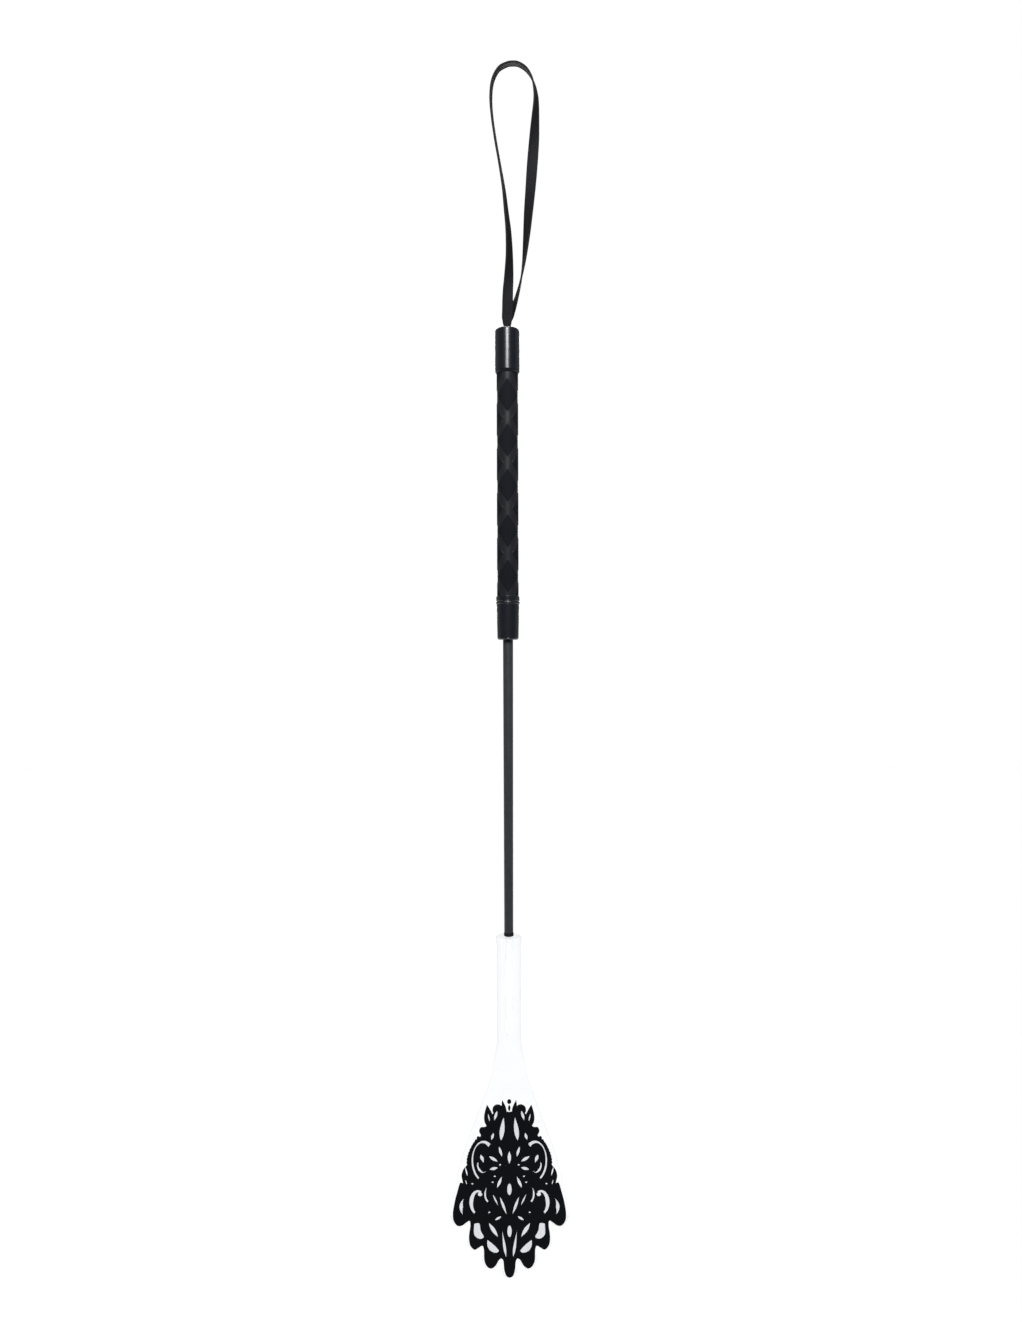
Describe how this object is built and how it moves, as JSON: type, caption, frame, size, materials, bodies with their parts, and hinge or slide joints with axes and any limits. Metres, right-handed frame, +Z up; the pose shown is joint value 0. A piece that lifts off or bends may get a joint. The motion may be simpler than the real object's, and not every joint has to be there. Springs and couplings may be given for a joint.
{
  "type": "riding crop",
  "caption": "Slim riding crop with a flat wrist loop, capped handle with lattice grip, tapered shaft and a clear flexible keeper carrying a cut scrollwork ornament.",
  "frame": {"origin": "on the crop's axis, where the inside of the wrist loop rests on its peg", "axes": "+Z up along the crop from keeper to loop, -Y out of the ornament's face, +X to the right of the ornament as seen"},
  "size_m": [0.0764, 0.0162, 0.7859],
  "materials": {
    "strap": "woven black webbing",
    "gloss_black": "polished black",
    "core_plastic": "moulded dark grey",
    "grip_rubber": "matte raised pads, satin lattice",
    "fibreglass": "pale drawn fibreglass",
    "sheath": "satin dark grey",
    "ring_black": "matte black",
    "clear_keeper": "clear flexible moulding",
    "ornament": "flat matte black"
  },
  "bodies": {
    "loop": {"wrist_loop": "strap"},
    "handle": {"strap_tails": "strap", "strap_knot": "strap", "top_cap": "gloss_black", "handle_core": "core_plastic", "grip_sleeve": "grip_rubber", "lower_ferrule": "gloss_black", "core_rod": "fibreglass", "shaft_sheath": "sheath", "shaft_ring": "ring_black", "keeper_neck": "clear_keeper"},
    "flap": {"keeper_blade": "clear_keeper", "filigree_panel": "ornament", "finial_studs": "ornament"}
  },
  "joints": [
    {"name": "loop_swing", "type": "hinge", "parent": "loop", "child": "handle", "pos_m": [0, 0, -0.167], "axis": [1, 0, 0], "range_deg": [-80, 80]},
    {"name": "keeper_flex", "type": "hinge", "parent": "handle", "child": "flap", "pos_m": [0, 0, -0.6429], "axis": [1, 0, 0], "range_deg": [-30, 30], "stiffness_Nm_per_rad": 0.4}
  ]
}
